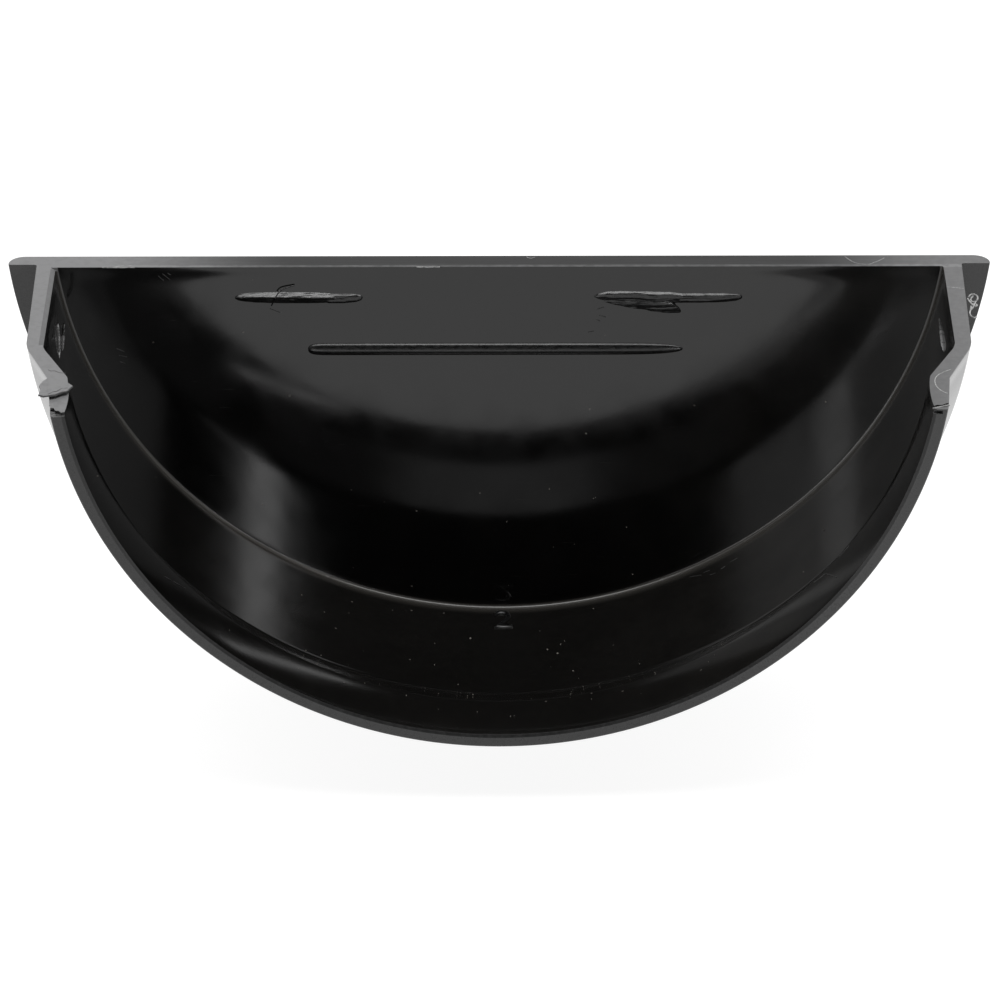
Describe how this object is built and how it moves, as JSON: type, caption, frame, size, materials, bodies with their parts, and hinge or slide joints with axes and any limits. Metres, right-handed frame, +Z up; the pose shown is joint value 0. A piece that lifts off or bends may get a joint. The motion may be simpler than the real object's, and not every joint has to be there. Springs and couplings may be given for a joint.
{
  "type": "gutter end cap",
  "caption": "Black half-round gutter end cap: a flat D-shaped plate with an overhanging flange and a stepped half-round skirt that slides into the gutter.",
  "frame": {"origin": "middle of the straight top edge, in the plane of the flange's front face where the gutter's cut end stops", "axes": "+X across the gutter, +Y out through the end plate, along the gutter's axis, +Z up as fitted"},
  "size_m": [0.1178, 0.0411, 0.052],
  "materials": {
    "black_plastic": "glossy moulded, with matt grey sawn top edge"
  },
  "bodies": {
    "root": {"end_cap": "black_plastic"}
  },
  "joints": []
}
